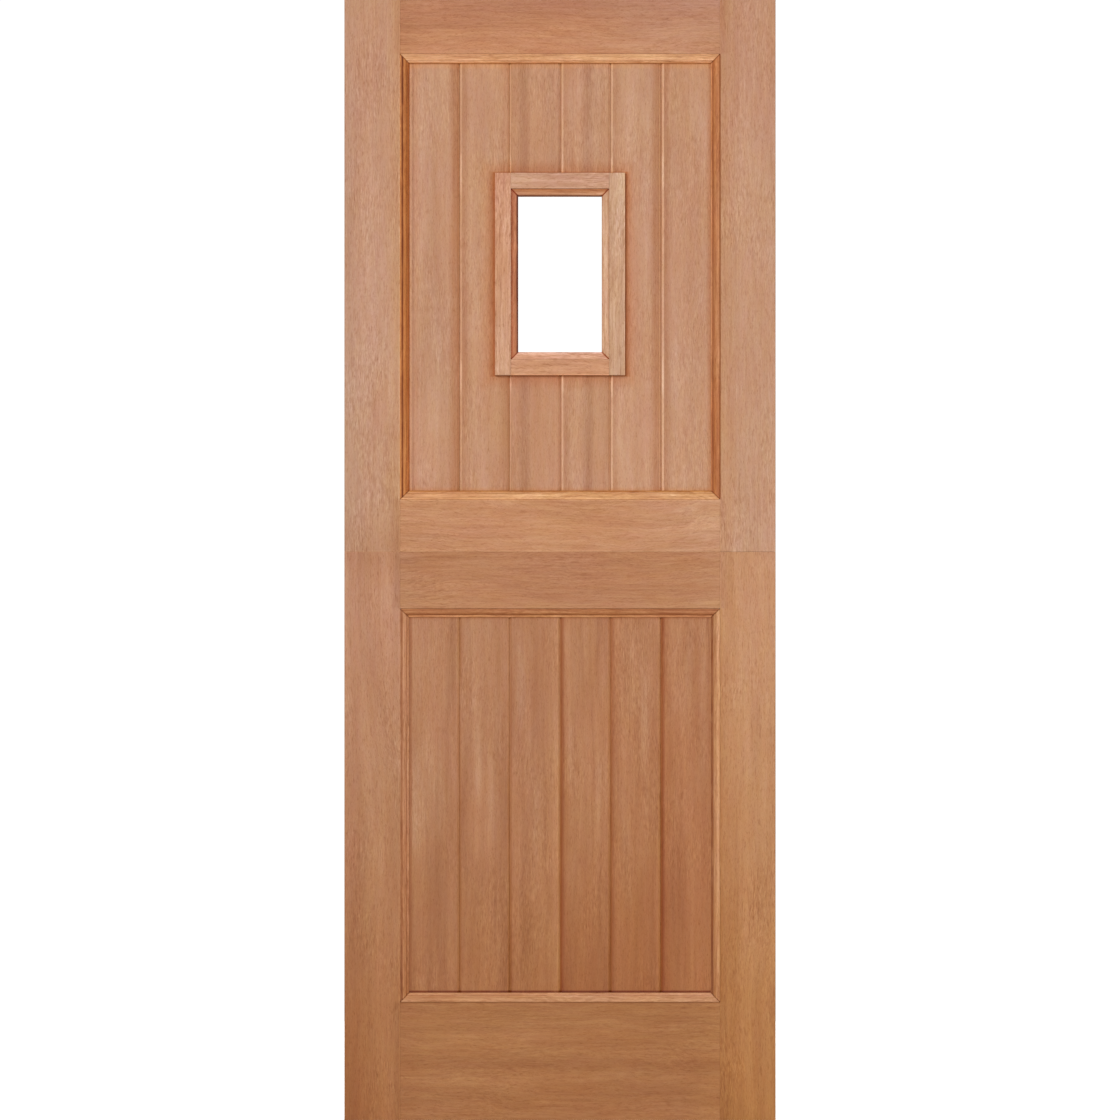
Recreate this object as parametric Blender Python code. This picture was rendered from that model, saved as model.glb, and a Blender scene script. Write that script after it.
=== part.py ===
"""A stable door in hardwood: two framed leaves, one above the other, with a small window.

Each leaf has two stiles and two rails, joined by mortice and tenon, around a panel of
tongued and grooved boards. Mitred mouldings hold the panel in front and plain splayed
beads hold it behind. The leaves meet in a rebate, where the upper one laps the lower.
The window is two boards wide: a frame is planted round it on both faces, and mitred
beads leave room for its glass.

Units are metres. X runs across the door from its hanging edge, Y from front to back and
Z up. The origin is on the hanging edge, halfway through the door's thickness, where the
lowest hinge goes.
"""

import math
from collections import namedtuple

import bmesh
import bpy

# The whole door
DOOR_WIDTH = 0.762
DOOR_HEIGHT = 1.981
DOOR_THICKNESS = 0.044
BOTTOM_HINGE_HEIGHT = 0.225  # from the foot to the origin
EDGE_ARRIS = 0.001  # taken off the door's outer edges

# The frame of each leaf, as it shows on the front
LOWER_LEAF_HEIGHT = 1.005
STILE_WIDTH = 0.098
TOP_RAIL_HEIGHT = 0.096
UPPER_MEETING_RAIL_HEIGHT = 0.092
LOWER_MEETING_RAIL_HEIGHT = 0.100
BOTTOM_RAIL_HEIGHT = 0.209
MEETING_LAP = 0.012  # height of the rebate where the leaves meet

# Mortice and tenon joints
TENON_THICKNESS = 0.014
TENON_LENGTH = 0.060
TENON_SHOULDER = 0.015  # from a rail's edge to its tenon
TWIN_TENON_HEIGHT = 0.150  # a rail higher than this has two tenons at each end
TWIN_TENON_SPACE = 0.030  # between those two
MORTICE_END_SPACE = 0.002  # past the tenon's end

# Tongued and grooved boards
BOARD_COUNT = 6
BOARD_THICKNESS = 0.016
BOARD_CHAMFER = 0.0035  # two of these make the V at a joint
TONGUE_THICKNESS = 0.005
TONGUE_LENGTH = 0.006
GROOVE_END_SPACE = 0.001  # past the tongue's end
PANEL_SPACE = 0.002  # all round the panel, behind the mouldings

# Front mouldings: a flat, an ovolo, a quirk and a sloping fillet
MOULDING_WIDTH = 0.016
MOULDING_SETBACK = 0.001  # behind the face of the frame
MOULDING_ARRIS = 0.0006
MOULDING_FLAT_WIDTH = 0.002
FILLET_WIDTH = 0.004
FILLET_RISE = 0.0032  # above the boards, at the quirk
FILLET_EDGE = 0.002  # above the boards, at its free edge
QUIRK_DEPTH = 0.0008
OVOLO_STEPS = 8

# Back beads: a flat and a splay
BACK_BEAD_FLAT_WIDTH = 0.004
BACK_BEAD_EDGE = 0.003

# The window
WINDOW_BOARDS = 2  # how many boards wide it is
WINDOW_LAP = 0.002  # how far its frame oversails the board joints at its sides
WINDOW_HEIGHT = 0.302
WINDOW_RISE = 0.005  # above the middle of the panel
WINDOW_FRAME_WIDTH = 0.028
WINDOW_FRAME_THICKNESS = 0.012
WINDOW_FRAME_ARRIS = 0.0008
WINDOW_HOLE_ALLOWANCE = 0.003  # the hole in the boards is this much larger, all round
WINDOW_BEAD_WIDTH = 0.013
WINDOW_BEAD_SETBACK = 0.003  # behind the face of the window frame
WINDOW_BEAD_FLAT_WIDTH = 0.001
WINDOW_BEAD_SPLAY = 0.0035
GLASS_SPACE = 0.014  # between front and back beads

# Fits
CONTACT_GAP = 0.0003  # between pieces that touch
CUTTER_MARGIN = 0.005  # how far a cutter runs past what it cuts
TOLERANCE = 1e-6  # closer points than this are one
SHARP_ANGLE = math.radians(30)  # edges sharper than this aren't shaded smooth

# Worked out from the sizes above
HALF_THICKNESS = DOOR_THICKNESS / 2
UPPER_LEAF_HEIGHT = DOOR_HEIGHT - LOWER_LEAF_HEIGHT - CONTACT_GAP
PANEL_FACE = BOARD_THICKNESS / 2
BEAD_BACK = PANEL_FACE + CONTACT_GAP
MOULDING_FACE = HALF_THICKNESS - MOULDING_SETBACK
SIGHT_LEFT = STILE_WIDTH + MOULDING_WIDTH
SIGHT_RIGHT = DOOR_WIDTH - SIGHT_LEFT
BOARD_PITCH = (SIGHT_RIGHT - SIGHT_LEFT) / BOARD_COUNT
WINDOW_WIDTH = WINDOW_BOARDS * BOARD_PITCH - 2 * WINDOW_LAP
WINDOW_FRAME_FACE = PANEL_FACE + WINDOW_FRAME_THICKNESS
WINDOW_BEAD_FACE = WINDOW_FRAME_FACE - WINDOW_BEAD_SETBACK

# Which way a face looks along Y
FRONT = -1
BACK = 1

# Colours of the bare hardwood, in linear light, and its finish
WOODS = {
    "upper_frame_wood": (0.52, 0.28, 0.165),
    "lower_frame_wood": (0.45, 0.215, 0.105),
    "upper_board_wood": (0.53, 0.28, 0.165),
    "lower_board_wood": (0.42, 0.19, 0.09),
    "upper_moulding_wood": (0.52, 0.25, 0.11),
    "lower_moulding_wood": (0.47, 0.23, 0.12),
    "window_wood": (0.58, 0.34, 0.215),
}
WOOD_ROUGHNESS = 0.6

# A leaf stands with its foot at a height above the origin. A hole goes through the boards.
Leaf = namedtuple("Leaf", "name foot")
Hole = namedtuple("Hole", "cutter left right bottom top")


def clear_scene():
    """Removes what the startup scene holds."""
    for obj in list(bpy.data.objects):
        bpy.data.objects.remove(obj)


def new_collection(name):
    """A collection of the scene."""
    collection = bpy.data.collections.new(name)
    bpy.context.scene.collection.children.link(collection)
    return collection


def wood(name):
    """The plain finish of one kind of piece."""
    material = bpy.data.materials.new(name)
    material.use_nodes = True
    shader = material.node_tree.nodes["Principled BSDF"]
    shader.inputs["Base Color"].default_value = (*WOODS[name], 1)
    shader.inputs["Roughness"].default_value = WOOD_ROUGHNESS
    shader.inputs["Metallic"].default_value = 0
    return material


def add_piece(name, mesh, material, location, turn=0):
    """One solid piece of the leaf in hand. turn rotates it about Y."""
    piece = bpy.data.objects.new(name, mesh)
    piece.location = location
    piece.rotation_euler = (0, turn, 0)
    mesh.materials.append(material)
    DOOR.objects.link(piece)
    return piece


def add_cutter(name, low, high):
    """A box that cuts other pieces and isn't one itself."""
    cutter = bpy.data.objects.new(name, box_mesh(name, low, high))
    cutter.location = middle(low, high)
    cutter.hide_render = True
    cutter.display_type = "WIRE"
    CUTTERS.objects.link(cutter)
    return cutter


def middle(low, high):
    """The point halfway between two corners."""
    return [(a + b) / 2 for a, b in zip(low, high)]


def box_mesh(name, low, high, eased=None):
    """A box as large as two corners say, around its own middle.

    eased is (left, right, bottom, top, faces, width): edges on those outer planes, and on
    those faces along Y, lose an arris of that width.
    """
    bm = bmesh.new()
    bmesh.ops.create_cube(bm, size=1)
    bmesh.ops.scale(bm, vec=[b - a for a, b in zip(low, high)], verts=bm.verts)
    if eased:
        ease_perimeter(bm, middle(low, high), *eased)
    mesh = bpy.data.meshes.new(name)
    bm.to_mesh(mesh)
    bm.free()
    return mesh


def ease_perimeter(bm, centre, left, right, bottom, top, faces, width):
    """Takes the arris off the edges that run round a frame's outside, on the faces given."""
    planes = [(0, left), (0, right), (2, bottom), (2, top)]

    def lies_on(edge, axis, value):
        return all(math.isclose(v.co[axis] + centre[axis], value, abs_tol=TOLERANCE) for v in edge.verts)

    chosen = [
        edge
        for edge in bm.edges
        if any(lies_on(edge, 1, y) for y in faces) and any(lies_on(edge, *plane) for plane in planes)
    ]
    if chosen:
        bmesh.ops.bevel(bm, geom=chosen, offset=width, segments=1, affect="EDGES")


def prism_mesh(name, outline, length):
    """A straight length of the given cross-section, in X and Y, that runs along Z."""
    curve = bpy.data.curves.new(name, "CURVE")
    curve.dimensions = "2D"
    curve.fill_mode = "BOTH"
    curve.extrude = length / 2
    spline = curve.splines.new("POLY")
    spline.points.add(len(outline) - 1)
    for point, (x, y) in zip(spline.points, outline):
        point.co = (x, y, 0, 1)
    spline.use_cyclic_u = True
    guide = bpy.data.objects.new(name + "_outline", curve)
    bpy.context.scene.collection.objects.link(guide)
    graph = bpy.context.evaluated_depsgraph_get()
    mesh = bpy.data.meshes.new_from_object(guide.evaluated_get(graph))
    bpy.data.objects.remove(guide)
    bm = bmesh.new()
    bm.from_mesh(mesh)
    bmesh.ops.remove_doubles(bm, verts=bm.verts, dist=TOLERANCE)
    bmesh.ops.recalc_face_normals(bm, faces=bm.faces)
    bm.to_mesh(mesh)
    bm.free()
    mesh.name = name
    return mesh


def boolean(piece, tool, operation):
    """Cuts a piece with a tool, or joins the tool to it."""
    modifier = piece.modifiers.new(f"{operation.lower()}_{tool.name}", "BOOLEAN")
    modifier.operation = operation
    modifier.object = tool


def tenon_spans(bottom, top):
    """The lowest and highest point of each tenon at an end of a rail."""
    low, high = bottom + TENON_SHOULDER, top - TENON_SHOULDER
    if top - bottom <= TWIN_TENON_HEIGHT:
        return [(low, high)]
    centre = (low + high) / 2
    return [(low, centre - TWIN_TENON_SPACE / 2), (centre + TWIN_TENON_SPACE / 2, high)]


def add_frame(leaf, height, rails, rebate, material):
    """The stiles and rails of a leaf.

    height is the stiles', rails are (name, lowest, highest on the face, top of its
    solid), and rebate is the cutter that shapes the leaf's meeting edge.
    """
    door_bottom = -BOTTOM_HINGE_HEIGHT - leaf.foot
    door_top = door_bottom + DOOR_HEIGHT
    eased = (0, DOOR_WIDTH, door_bottom, door_top, (-HALF_THICKNESS, HALF_THICKNESS), EDGE_ARRIS)
    stiles = []
    for side, left in (("hanging", 0), ("closing", DOOR_WIDTH - STILE_WIDTH)):
        name = f"{leaf.name}_{side}_stile"
        low = (left, -HALF_THICKNESS, 0)
        high = (left + STILE_WIDTH, HALF_THICKNESS, height)
        stile = add_piece(name, box_mesh(name, low, high, eased), material, middle(low, high))
        boolean(stile, rebate, "DIFFERENCE")
        stiles.append(stile)
    pieces = list(stiles)
    for rail_name, bottom, face_top, top in rails:
        name = f"{leaf.name}_{rail_name}"
        low = (STILE_WIDTH + CONTACT_GAP, -HALF_THICKNESS, bottom)
        high = (DOOR_WIDTH - STILE_WIDTH - CONTACT_GAP, HALF_THICKNESS, top)
        rail = add_piece(name, box_mesh(name, low, high, eased), material, middle(low, high))
        boolean(rail, rebate, "DIFFERENCE")
        for number, span in enumerate(tenon_spans(bottom, face_top), start=1):
            label = f"{name}_tenon_{number}"
            tenon = add_cutter(label, *tenon_corners(span, TENON_LENGTH, 0))
            depth = TENON_LENGTH + MORTICE_END_SPACE
            mortice = add_cutter(f"{label}_mortice", *tenon_corners(span, depth, CONTACT_GAP))
            boolean(rail, tenon, "UNION")
            for stile in stiles:
                boolean(stile, mortice, "DIFFERENCE")
            pieces += [tenon, mortice]
        pieces.append(rail)
    return pieces


def tenon_corners(span, depth, gap):
    """Corners of the box that runs from a tenon in one stile to its twin in the other."""
    reach = STILE_WIDTH - depth
    half = TENON_THICKNESS / 2 + gap
    return (reach, -half, span[0] - gap), (DOOR_WIDTH - reach, half, span[1] + gap)


def square_edge(x):
    """A board's plain edge, from front to back."""
    return [(x, -PANEL_FACE), (x, PANEL_FACE)]


def joint_edge(x, inward, reach, half):
    """A board's chamfered edge, from front to back, with a tongue or groove that goes to reach.

    inward is 1 on a left edge and -1 on a right one, and half is half the tongue's or the
    groove's thickness.
    """
    chamfered = x + inward * BOARD_CHAMFER
    return [
        (chamfered, -PANEL_FACE),
        (x, -PANEL_FACE + BOARD_CHAMFER),
        (x, -half),
        (reach, -half),
        (reach, half),
        (x, half),
        (x, PANEL_FACE - BOARD_CHAMFER),
        (chamfered, PANEL_FACE),
    ]


def grooved_edge(joint):
    """A board's left edge at a joint."""
    x = joint + CONTACT_GAP / 2
    reach = x + TONGUE_LENGTH + GROOVE_END_SPACE
    return joint_edge(x, 1, reach, TONGUE_THICKNESS / 2 + CONTACT_GAP)


def tongued_edge(joint):
    """A board's right edge at a joint."""
    x = joint - CONTACT_GAP / 2
    return joint_edge(x, -1, x + TONGUE_LENGTH, TONGUE_THICKNESS / 2)


def board_joints():
    """Where each board starts and ends across the door."""
    inner = [SIGHT_LEFT + BOARD_PITCH * k for k in range(1, BOARD_COUNT)]
    outer = STILE_WIDTH + PANEL_SPACE
    return [outer, *inner, DOOR_WIDTH - outer]


def board_mesh(name, number, left, right, length):
    """One board, square at the panel's sides and tongued or grooved elsewhere."""
    first, last = number == 1, number == BOARD_COUNT
    left_edge = square_edge(left) if first else grooved_edge(left)
    right_edge = square_edge(right) if last else tongued_edge(right)
    centre = (left + right) / 2
    outline = [(x - centre, y) for x, y in left_edge + right_edge[::-1]]
    return prism_mesh(name, outline, length)


def add_boards(leaf, bottom, top, material, hole=None):
    """The panel between two heights, with a hole for a window if it has one."""
    joints = board_joints()
    pieces = []
    for number, (left, right) in enumerate(zip(joints, joints[1:]), start=1):
        name = f"{leaf.name}_board_{number}"
        stretches = [(name, bottom, top)]
        parted = hole and hole.left <= left and right <= hole.right
        if parted:
            stretches = [
                (f"{name}_below_window", bottom, hole.bottom),
                (f"{name}_above_window", hole.top, top),
            ]
        for stretch, low, high in stretches:
            mesh = board_mesh(stretch, number, left, right, high - low)
            place = ((left + right) / 2, 0, (low + high) / 2)
            board = add_piece(stretch, mesh, material, place)
            pieces.append(board)
            if hole and not parted and left < hole.right and hole.left < right + TONGUE_LENGTH:
                boolean(board, hole.cutter, "DIFFERENCE")
    return pieces


def ovolo_section():
    """Front moulding: how far each point is from the opening's edge and from mid-thickness."""
    foot = FILLET_RISE + BEAD_BACK + QUIRK_DEPTH
    across = MOULDING_WIDTH - FILLET_WIDTH - MOULDING_FLAT_WIDTH
    deep = MOULDING_FACE - foot
    turns = [math.radians(90) * k / OVOLO_STEPS for k in range(OVOLO_STEPS + 1)]
    ovolo = [(MOULDING_FLAT_WIDTH + across * math.sin(t), foot + deep * math.cos(t)) for t in turns]
    return [
        (CONTACT_GAP, BEAD_BACK),
        (CONTACT_GAP, MOULDING_FACE - MOULDING_ARRIS),
        (CONTACT_GAP + MOULDING_ARRIS, MOULDING_FACE),
        *ovolo,
        (MOULDING_WIDTH - FILLET_WIDTH, foot - QUIRK_DEPTH),
        (MOULDING_WIDTH, BEAD_BACK + FILLET_EDGE),
        (MOULDING_WIDTH, BEAD_BACK),
    ]


def splay_section():
    """Back bead, in the same measures as the front moulding."""
    return [
        (CONTACT_GAP, BEAD_BACK),
        (CONTACT_GAP, MOULDING_FACE),
        (BACK_BEAD_FLAT_WIDTH, MOULDING_FACE),
        (MOULDING_WIDTH, BEAD_BACK + BACK_BEAD_EDGE),
        (MOULDING_WIDTH, BEAD_BACK),
    ]


def window_bead_section():
    """Window bead, measured from the window frame's inner edge and from mid-thickness."""
    return [
        (CONTACT_GAP, GLASS_SPACE / 2),
        (CONTACT_GAP, WINDOW_BEAD_FACE),
        (CONTACT_GAP + WINDOW_BEAD_FLAT_WIDTH, WINDOW_BEAD_FACE),
        (WINDOW_BEAD_WIDTH, WINDOW_BEAD_FACE - WINDOW_BEAD_SPLAY),
        (WINDOW_BEAD_WIDTH, GLASS_SPACE / 2),
    ]


def add_mitred_surround(prefix, section, face, left, right, bottom, top, material):
    """Four mitred lengths round the inside of an opening, on its front or its back."""
    outline = [(u, face * depth) for u, depth in section]
    x, z = (left + right) / 2, (bottom + top) / 2
    sides = (
        ("hanging_side", (left, 0, z), 0, top - bottom),
        ("top", (x, 0, top), 90, right - left),
        ("closing_side", (right, 0, z), 180, top - bottom),
        ("bottom", (x, 0, bottom), 270, right - left),
    )
    pieces = []
    for side, place, turn, run in sides:
        name = f"{prefix}_{side}"
        mesh = prism_mesh(name, outline, run - 2 * CONTACT_GAP)
        for vertex in mesh.vertices:
            # A corner at 45 degrees draws the end back as far as the point is from the edge.
            vertex.co.z -= math.copysign(vertex.co.x, vertex.co.z)
        shade_curves(mesh)
        pieces.append(add_piece(name, mesh, material, place, math.radians(turn)))
    return pieces


def shade_curves(mesh):
    """Smooth shading, apart from edges that are sharp on the real piece."""
    mesh.shade_smooth()
    mesh.set_sharp_from_angle(angle=SHARP_ANGLE)


def add_window_frame(prefix, face, left, right, bottom, top, material):
    """The frame planted round the window on one face: the uprights run through."""
    near, far = sorted((face * BEAD_BACK, face * WINDOW_FRAME_FACE))
    outer_left, outer_right = left - WINDOW_FRAME_WIDTH, right + WINDOW_FRAME_WIDTH
    outer_bottom, outer_top = bottom - WINDOW_FRAME_WIDTH, top + WINDOW_FRAME_WIDTH
    inner_left, inner_right = left + CONTACT_GAP, right - CONTACT_GAP
    faces = (face * WINDOW_FRAME_FACE,)
    eased = (outer_left, outer_right, outer_bottom, outer_top, faces, WINDOW_FRAME_ARRIS)
    members = (
        ("hanging_side", outer_left, left, outer_bottom, outer_top),
        ("closing_side", right, outer_right, outer_bottom, outer_top),
        ("bottom", inner_left, inner_right, outer_bottom, bottom),
        ("top", inner_left, inner_right, top, outer_top),
    )
    pieces = []
    for side, x0, x1, z0, z1 in members:
        name = f"{prefix}_{side}"
        low, high = (x0, near, z0), (x1, far, z1)
        pieces.append(add_piece(name, box_mesh(name, low, high, eased), material, middle(low, high)))
    return pieces


def add_panel_surrounds(leaf, bottom, top, material):
    """The front mouldings and back beads that hold a leaf's panel."""
    opening = (STILE_WIDTH, DOOR_WIDTH - STILE_WIDTH, bottom, top, material)
    front = add_mitred_surround(f"{leaf.name}_front_moulding", ovolo_section(), FRONT, *opening)
    back = add_mitred_surround(f"{leaf.name}_back_bead", splay_section(), BACK, *opening)
    return front + back


def add_window(panel_middle, material):
    """The window's frames and beads, and the hole that they need in the boards."""
    centre_x, centre_z = DOOR_WIDTH / 2, panel_middle + WINDOW_RISE
    left, right = centre_x - WINDOW_WIDTH / 2, centre_x + WINDOW_WIDTH / 2
    bottom, top = centre_z - WINDOW_HEIGHT / 2, centre_z + WINDOW_HEIGHT / 2
    pieces = []
    for side, face in (("front", FRONT), ("back", BACK)):
        opening = (left, right, bottom, top, material)
        pieces += add_window_frame(f"window_{side}_frame", face, *opening)
        pieces += add_mitred_surround(f"window_{side}_bead", window_bead_section(), face, *opening)
    spare = WINDOW_HOLE_ALLOWANCE
    low = (left - spare, -PANEL_FACE - CUTTER_MARGIN, bottom - spare)
    high = (right + spare, PANEL_FACE + CUTTER_MARGIN, top + spare)
    cutter = add_cutter("window_hole", low, high)
    return pieces + [cutter], Hole(cutter, low[0], high[0], low[2], high[2])


def stand_leaf(leaf, pieces):
    """Puts a leaf's pieces on an empty at the foot of its hanging edge."""
    empty = bpy.data.objects.new(f"{leaf.name}_leaf", None)
    empty.location = (0, 0, leaf.foot)
    DOOR.objects.link(empty)
    for piece in pieces:
        piece.parent = empty


def add_lower_leaf():
    """The lower leaf, whose back half stands up behind the upper one."""
    leaf = Leaf("lower", -BOTTOM_HINGE_HEIGHT)
    face_top, top = LOWER_LEAF_HEIGHT, LOWER_LEAF_HEIGHT + MEETING_LAP
    panel_bottom, panel_top = BOTTOM_RAIL_HEIGHT, face_top - LOWER_MEETING_RAIL_HEIGHT
    margin = CUTTER_MARGIN
    low = (-margin, -HALF_THICKNESS - margin, face_top)
    rebate = add_cutter("lower_rebate", low, (DOOR_WIDTH + margin, CONTACT_GAP, top + margin))
    rails = (("bottom_rail", 0, panel_bottom, panel_bottom), ("meeting_rail", panel_top, face_top, top))
    pieces = add_frame(leaf, top, rails, rebate, wood("lower_frame_wood"))
    pieces += add_boards(leaf, panel_bottom + PANEL_SPACE, panel_top - PANEL_SPACE, wood("lower_board_wood"))
    pieces += add_panel_surrounds(leaf, panel_bottom, panel_top, wood("lower_moulding_wood"))
    stand_leaf(leaf, pieces + [rebate])


def add_upper_leaf():
    """The upper leaf, whose front half hangs over the lower one, with the window."""
    leaf = Leaf("upper", LOWER_LEAF_HEIGHT + CONTACT_GAP - BOTTOM_HINGE_HEIGHT)
    top = UPPER_LEAF_HEIGHT
    panel_bottom, panel_top = UPPER_MEETING_RAIL_HEIGHT, top - TOP_RAIL_HEIGHT
    margin = CUTTER_MARGIN
    high = (DOOR_WIDTH + margin, HALF_THICKNESS + margin, MEETING_LAP)
    rebate = add_cutter("upper_rebate", (-margin, 0, -margin), high)
    rails = (("meeting_rail", 0, panel_bottom, panel_bottom), ("top_rail", panel_top, top, top))
    pieces = add_frame(leaf, top, rails, rebate, wood("upper_frame_wood"))
    window, hole = add_window((panel_bottom + panel_top) / 2, wood("window_wood"))
    boards = wood("upper_board_wood")
    pieces += add_boards(leaf, panel_bottom + PANEL_SPACE, panel_top - PANEL_SPACE, boards, hole)
    pieces += add_panel_surrounds(leaf, panel_bottom, panel_top, wood("upper_moulding_wood"))
    stand_leaf(leaf, pieces + window + [rebate])


clear_scene()
DOOR = new_collection("stable_door")
CUTTERS = new_collection("cutters")
add_lower_leaf()
add_upper_leaf()
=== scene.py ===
"""The looks of the stable door: its timber, its finer mouldings, the light and the camera.

Units are metres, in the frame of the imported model: X runs across the door from its hanging
edge, Y from front to back and Z up.
"""

import math
import random
from collections import namedtuple

import bmesh
import bpy
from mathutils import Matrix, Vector


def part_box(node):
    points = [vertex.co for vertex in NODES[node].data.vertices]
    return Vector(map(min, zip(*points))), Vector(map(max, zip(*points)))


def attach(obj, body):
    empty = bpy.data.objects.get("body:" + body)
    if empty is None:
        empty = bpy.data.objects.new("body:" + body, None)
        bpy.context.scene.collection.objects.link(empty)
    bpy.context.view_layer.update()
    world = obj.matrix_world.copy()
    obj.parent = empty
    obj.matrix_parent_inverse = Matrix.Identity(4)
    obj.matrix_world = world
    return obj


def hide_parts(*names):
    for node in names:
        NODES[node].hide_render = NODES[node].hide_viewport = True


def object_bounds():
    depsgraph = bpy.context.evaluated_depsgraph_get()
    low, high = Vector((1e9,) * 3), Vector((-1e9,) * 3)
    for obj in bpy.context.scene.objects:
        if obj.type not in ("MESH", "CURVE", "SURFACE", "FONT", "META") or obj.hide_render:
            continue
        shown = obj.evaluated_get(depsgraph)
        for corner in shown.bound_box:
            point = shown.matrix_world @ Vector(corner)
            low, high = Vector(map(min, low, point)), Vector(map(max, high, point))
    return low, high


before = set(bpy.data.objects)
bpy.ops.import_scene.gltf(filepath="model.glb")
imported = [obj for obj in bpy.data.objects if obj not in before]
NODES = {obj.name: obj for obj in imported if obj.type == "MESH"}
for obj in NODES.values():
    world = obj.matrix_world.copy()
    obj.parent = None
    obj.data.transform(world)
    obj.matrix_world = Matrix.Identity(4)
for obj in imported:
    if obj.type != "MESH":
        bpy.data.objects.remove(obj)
CAD_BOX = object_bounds()

# Axes: X runs across the door and Z up
X, Z = 0, 2

# Places that the finish of the timber depends on, read from the frame
DOOR_LOW, DOOR_HIGH = CAD_BOX
DOOR_CENTRE = (DOOR_LOW + DOOR_HIGH) / 2
LEAF_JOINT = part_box("upper_meeting_rail")[0].z
SIGHT_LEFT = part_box("lower_front_moulding_hanging_side")[1].x
SIGHT_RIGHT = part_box("lower_front_moulding_closing_side")[0].x
BOARDS_ACROSS = 6
BOARD_PITCH = (SIGHT_RIGHT - SIGHT_LEFT) / BOARDS_ACROSS
WINDOW_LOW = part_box("window_front_frame_hanging_side")[0]
WINDOW_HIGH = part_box("window_front_frame_closing_side")[1]
TOP_RAIL_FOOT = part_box("upper_top_rail")[0].z
UPPER_MEETING_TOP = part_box("upper_meeting_rail")[1].z
LOWER_MEETING_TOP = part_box("lower_meeting_rail")[1].z
BOTTOM_RAIL_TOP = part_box("lower_bottom_rail")[1].z

# Front mouldings and window beads, finer than in the frame
MOULDING_FLAT = 0.002
MOULDING_ARRIS = 0.0006
FILLET_WIDTH = 0.004
FILLET_RISE = 0.0032
FILLET_EDGE = 0.002
QUIRK_DEPTH = 0.0008
OVOLO_STEPS = 24
BACK_BEAD_FLAT = 0.004
BACK_BEAD_EDGE = 0.003
WINDOW_BEAD_FLAT = 0.001
WINDOW_BEAD_SPLAY = 0.0035

# Arrises that sandpaper leaves
FRAME_ARRIS = 0.00012
BOARD_ARRIS = 0.0005
BEAD_ARRIS = 0.0004
FINE_ARRIS = 0.0002
ARRIS_STEPS = 2
WELD_DISTANCE = 1e-5
FLAT_ANGLE = math.radians(1)
SHARP_ANGLE = math.radians(30)

# The camera stands far off, level with the door's middle, so that the door fills the
# picture's height
CAMERA_LENS = 200
CAMERA_SENSOR = 36
CAMERA_CLOSENESS = 0.999
CLIP_FACTOR = 10

# The surroundings: the radiance and colour that they light the door with, and those that
# the camera sees
AMBIENT = 0.40
AMBIENT_COLOUR = (1.0, 0.99, 0.97, 1)
BACKDROP = 1.05
BACKDROP_COLOUR = (1, 1, 1, 1)

# The lamps: their colour, and each one's power in watts, its side, and its place as seen from
# the door's middle
LAMP_COLOUR = (1.0, 0.985, 0.96)
KEY_POWER = 1010
KEY_SIZE = 6.0
KEY_PLACE = Vector((-3.2, -12.2, 3.6))
FILL_POWER = 100
FILL_SIZE = 5.0
FILL_PLACE = Vector((7.0, -7.0, 0.5))
BACK_POWER = 420
BACK_SIZE = 4.0
BACK_PLACE = Vector((4.0, 6.0, 3.0))

# The floor, which lies just below the door
FLOOR_RADIUS = 2.4
FLOOR_SIDES = 96
FLOOR_GAP = 0.001
FLOOR_COLOUR = (0.82, 0.82, 0.81, 1)
FLOOR_ROUGHNESS = 0.9
FLOOR_GLOW = 0.6

# A timber: its colour at the top and the foot of its leaf of the door, and its figure
Timber = namedtuple("Timber", "head foot figure")
# A figure: how strong its clouds, bands, ribbons, streaks, dashes, flecks and painted sheen spots
# are, how far its hue changes, and how far the grain wanders, in metres
Figure = namedtuple("Figure", "cloud band ribbon streak dash fleck pale hue wander")

UPPER_STILE_FIGURE = Figure(0.18, 0.11, 0.06, 0.14, 0.34, 0.13, 0.3, 1.0, 0.020)
LOWER_STILE_FIGURE = Figure(0.34, 0.22, 0.12, 0.12, 0.34, 0.14, 0.3, 1.0, 0.024)
UPPER_BOARD_FIGURE = Figure(0.10, 0.13, 0.11, 0.08, 0.28, 0.08, 0.6, 1.0, 0.012)
LOWER_BOARD_FIGURE = Figure(0.14, 0.20, 0.20, 0.10, 0.32, 0.08, 0.6, 1.0, 0.016)
RAIL_FIGURE = Figure(0.14, 0.16, 0.13, 0.20, 0.24, 0.12, 0.3, 1.0, 0.045)
WINDOW_FIGURE = Figure(0.12, 0.14, 0.18, 0.30, 0.42, 0.18, 0.4, 1.0, 0.036)
BEAD_FIGURE = Figure(0.20, 0.20, 0.22, 0.40, 0.42, 0.14, 0.4, 1.0, 0.026)


def even_timber(colour, figure):
    """A timber of one colour from the top of its leaf to the foot."""
    return Timber(colour, colour, figure)


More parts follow.
